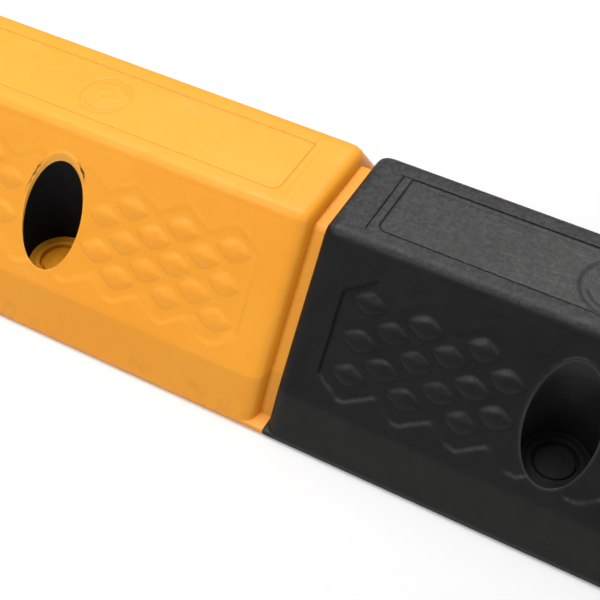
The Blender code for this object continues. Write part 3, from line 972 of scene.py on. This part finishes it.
def black_rubber(name, dust_and_sheen):
    n = Nodes(name)
    broad = n.noise(16, 4, 0.55, 0.5)
    blotch = n.noise(95, 6, 0.68, 0.8)
    colour = n.mix(n.ramp(broad, 0.3, 0.7), (0.0070, 0.0072, 0.0078), (0.0100, 0.0100, 0.0102))
    # painted sheen with some bloom and dust, mostly on what faces up
    up = n.ramp(n.face_up(), 0.62, 0.97)
    low = n.ramp(n.height(), 0.0193, 0.0205, 1.0, 0.0)
    bloom = n.ramp(blotch, 0.40, 0.66)
    grain = n.ramp(n.noise(520, 4, 0.7, 0.4), 0.40, 0.62)
    even = n.math("ADD", n.math("MULTIPLY", bloom, 0.16), n.math("MULTIPLY", grain, 0.40))
    bloom_and_painted_sheen = n.math("MULTIPLY", n.math("ADD", even, 0.22), up)
    colour = n.mix(n.math("MULTIPLY", bloom_and_painted_sheen, 0.62 * dust_and_sheen), colour, (0.105, 0.106, 0.101))
    # lighter in patches on the skirt, below the knee
    skirt_lightening = n.math("MULTIPLY", low, n.ramp(n.noise(120, 6, 0.7, 0.6), 0.30, 0.75, 0.55, 1.0))
    colour = n.mix(n.math("MULTIPLY", skirt_lightening, 0.45 * dust_and_sheen), colour, (0.026, 0.026, 0.022))
    scratch = n.math("MAXIMUM", n.ramp(n.noise(170, 6, 0.75, 1.5, (0.5, 2.6, 1.0)), 0.54, 0.62),
                     n.ramp(n.noise(170, 6, 0.75, 1.5, (2.6, 0.7, 1.0)), 0.56, 0.64))
    scratch = n.math("MULTIPLY", scratch, n.math("MULTIPLY", n.mark("wear_and_painted_light"), up))
    colour = n.mix(n.math("MULTIPLY", scratch, 0.55 * dust_and_sheen, True), colour, (0.130, 0.131, 0.125))
    streak = n.ramp(n.noise(34, 5, 0.7, 2.0, (0.22, 4.0, 4.0)), 0.62, 0.70)
    colour = n.mix(n.math("MULTIPLY", streak, 0.05 * dust_and_sheen), colour, (0.070, 0.070, 0.068))
    # painted shade in grooves, creases and under the pads
    colour = n.mix(n.math("MULTIPLY", n.mark("painted_crevice_shade"), 0.85, True), colour, (0.0040, 0.0040, 0.0042))
    # wear and painted highlights on edges and glints
    colour = n.mix(n.math("MULTIPLY", n.mark("wear_and_painted_light"), 0.25, True), colour, (0.105, 0.105, 0.101))
    specks = n.ramp(n.cells(420), 0.04, 0.08, 1.0, 0.0)
    sparse = n.ramp(n.noise(110, 2, 0.5), 0.52, 0.60)
    dots = n.math("MULTIPLY", specks, sparse)
    colour = n.mix(n.math("MULTIPLY", dots, 0.35 * dust_and_sheen), colour, (0.13, 0.125, 0.115))
    roughness = n.math("ADD", n.ramp(blotch, 0.3, 0.7, 0.38, 0.52), n.math("MULTIPLY", bloom_and_painted_sheen, 0.12))
    if dust_and_sheen < 0.5:
        roughness = n.math("ADD", roughness, 0.30)
    normal = n.bump(n.noise(85, 5, 0.65, 0.8), 0.30, 0.0006)
    normal = n.bump(n.noise(1300, 4, 0.7), 0.22, 0.00014, normal)
    wrinkle = n.noise(260, 3, 0.6, 1.4)
    normal = n.bump(n.math("MULTIPLY", wrinkle, up), 0.22, 0.0003, normal)
    gloss = n.math("SUBTRACT", 1.0, n.math("MULTIPLY", n.mark("painted_crevice_shade"), 0.85, True))
    return n.finish(colour, roughness, normal, n.math("MULTIPLY", gloss, 0.22 if dust_and_sheen > 0.5 else 0.06))


def galvanised_steel():
    n = Nodes("galvanised_steel")
    spangle = n.cells(260)
    colour = n.mix(n.ramp(spangle, 0.1, 0.7), (0.42, 0.43, 0.44), (0.62, 0.63, 0.64))
    rust = n.ramp(n.noise(140, 6, 0.7, 0.6), 0.60, 0.72)
    colour = n.mix(n.math("MULTIPLY", rust, 0.5), colour, (0.22, 0.10, 0.04))
    n.shader.inputs["Metallic"].default_value = 0.9
    normal = n.bump(n.noise(700, 4, 0.6), 0.2, 0.0001)
    return n.finish(colour, n.ramp(spangle, 0.1, 0.8, 0.32, 0.50), normal, 0.5)


YELLOW = yellow_rubber("yellow_rubber", 0.0)
# darker copies for the bores' seat rings and plugs: painted shade with some grime, more on the plug than on
# the ring
RING_YELLOW = yellow_rubber("shaded_yellow_rubber_in_bores", 0.20)
CAP_YELLOW = yellow_rubber("grimy_and_shaded_yellow_rubber", 0.60)
BLACK = black_rubber("black_rubber", 1.0)
# a darker, duller copy with little of the painted sheen and dust, for the core and the bores
INNER_BLACK = black_rubber("black_rubber_in_bores", 0.12)
STEEL = galvanised_steel()
IN_BORES = {"yellow": (RING_YELLOW, CAP_YELLOW), "black": (INNER_BLACK, INNER_BLACK)}   # seat ring, plug


def dress(obj, material, slot, body, *nodes):
    """Gives a piece its material, its body and the CAD nodes that it stands for; slot is not used."""
    obj.data.materials.clear()
    obj.data.materials.append(material)
    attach(obj, body)
    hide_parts(*nodes)


# ---------------------------------------------------------------- the pieces

skin = place(skin_shell("yellow_moulded_skin", 0.8, 11.5, 0.6), "yellow")
dress(skin, YELLOW, "yellow_rubber", "yellow_module", "yellow_skin")
core = place(inner_core("yellow_black_core", MODULES["yellow"]["pad"] - STACK), "yellow")
dress(core, INNER_BLACK, "black_rubber", "yellow_module", "yellow_core")
body = place(solid_body("black_moulded_body", MODULES["black"]["pad"] - STACK, 2.9, 15.5, 1.0), "black")
dress(body, BLACK, "black_rubber", "black_module", "black_body")

for module, place_of in MODULES.items():
    for where, sign in (("front", -1), ("rear", 1)):
        ring_rubber, cap_rubber = IN_BORES[module]
        prefix = f"{module}_{where}"
        y = sign * BORE_Y
        pad = seat_pad(f"{prefix}_seat_ring", place_of["x"], y, place_of["pad"])
        dress(pad, ring_rubber, f"{module}_rubber", f"{module}_module", f"{prefix}_seat_pad")
        head_bottom = place_of["pad"] - PAD_THICKNESS
        cap = plug(f"{prefix}_plug_cap", place_of["x"], y, place_of["plug"], head_bottom, place_of["moat"])
        dress(cap, cap_rubber, f"{module}_rubber", f"{module}_{where}_plug", f"{prefix}_bolt_hole_plug")
        washer = frame["nodes"][f"{prefix}_steel_washer"]
        washer.data.materials.clear()
        washer.data.materials.append(STEEL)


# ---------------------------------------------------------------- stage, light, camera

def stage():
    bm = bmesh.new()
    bmesh.ops.create_grid(bm, x_segments=1, y_segments=1, size=6.0)
    floor = mesh_object("studio_floor", bm)
    floor.location.z = -0.0002
    material = bpy.data.materials.new("studio_floor")
    material.use_nodes = True
    shader = material.node_tree.nodes["Principled BSDF"]
    shader.inputs["Base Color"].default_value = (0.86, 0.86, 0.86, 1)
    shader.inputs["Roughness"].default_value = 0.9
    shader.inputs["Specular IOR Level"].default_value = 0.1
    floor.data.materials.append(material)


def area_light(name, location, target, size, power):
    data = bpy.data.lights.new(name, "AREA")
    data.shape = "RECTANGLE"
    data.size, data.size_y = size
    data.energy = power
    light = bpy.data.objects.new(name, data)
    bpy.context.collection.objects.link(light)
    light.location = location
    light.rotation_euler = (Vector(target) - Vector(location)).to_track_quat("-Z", "Y").to_euler()


def world(strength):
    scene_world = bpy.data.worlds.new("studio")
    scene_world.use_nodes = True
    background = scene_world.node_tree.nodes["Background"]
    background.inputs["Color"].default_value = (1, 1, 1, 1)
    background.inputs["Strength"].default_value = strength
    bpy.context.scene.world = scene_world


CAMERA_TURN = (0.51702, 0.83160, -0.00616)   # azimuth, elevation and roll, in radians
CAMERA_OFFSET = (-21.53375 * MM, 7.473 * MM, 623.125 * MM)   # right, up and back from the joint
JOINT_X = -15.0 * MM                         # the black module's left end
CAMERA_LENS = 82.4442                        # mm, on a 36 mm sensor


def camera():
    """The view fitted to the object's straight edges."""
    azimuth, elevation, roll = CAMERA_TURN
    back = Vector((math.sin(azimuth) * math.cos(elevation), -math.cos(azimuth) * math.cos(elevation),
                   math.sin(elevation)))
    right = Vector((math.cos(azimuth), math.sin(azimuth), 0))
    up = back.cross(right)
    rolled_right = right * math.cos(roll) + up * math.sin(roll)
    rolled_up = up * math.cos(roll) - right * math.sin(roll)
    eye = rolled_right * CAMERA_OFFSET[0] + rolled_up * CAMERA_OFFSET[1] + back * CAMERA_OFFSET[2]
    eye.x += JOINT_X
    data = bpy.data.cameras.new("camera")
    data.sensor_width = 36.0
    data.lens = CAMERA_LENS
    obj = bpy.data.objects.new("camera", data)
    bpy.context.collection.objects.link(obj)
    turn = Matrix((rolled_right, rolled_up, back)).transposed().to_4x4()
    obj.matrix_world = Matrix.Translation(eye) @ turn
    bpy.context.scene.camera = obj


stage()
world(0.30)
area_light("top_soft_box", (-0.25, 0.36, 1.22), (0, 0, 0), (1.0, 0.8), 14)
area_light("front_key", (-0.62, -0.85, 1.10), (0, 0, 0.04), (0.5, 0.5), 5.4)
area_light("right_fill", (1.30, -0.62, 0.75), (0, 0, 0.05), (1.2, 1.0), 4.6)
camera()
bpy.context.scene.view_settings.view_transform = "Standard"
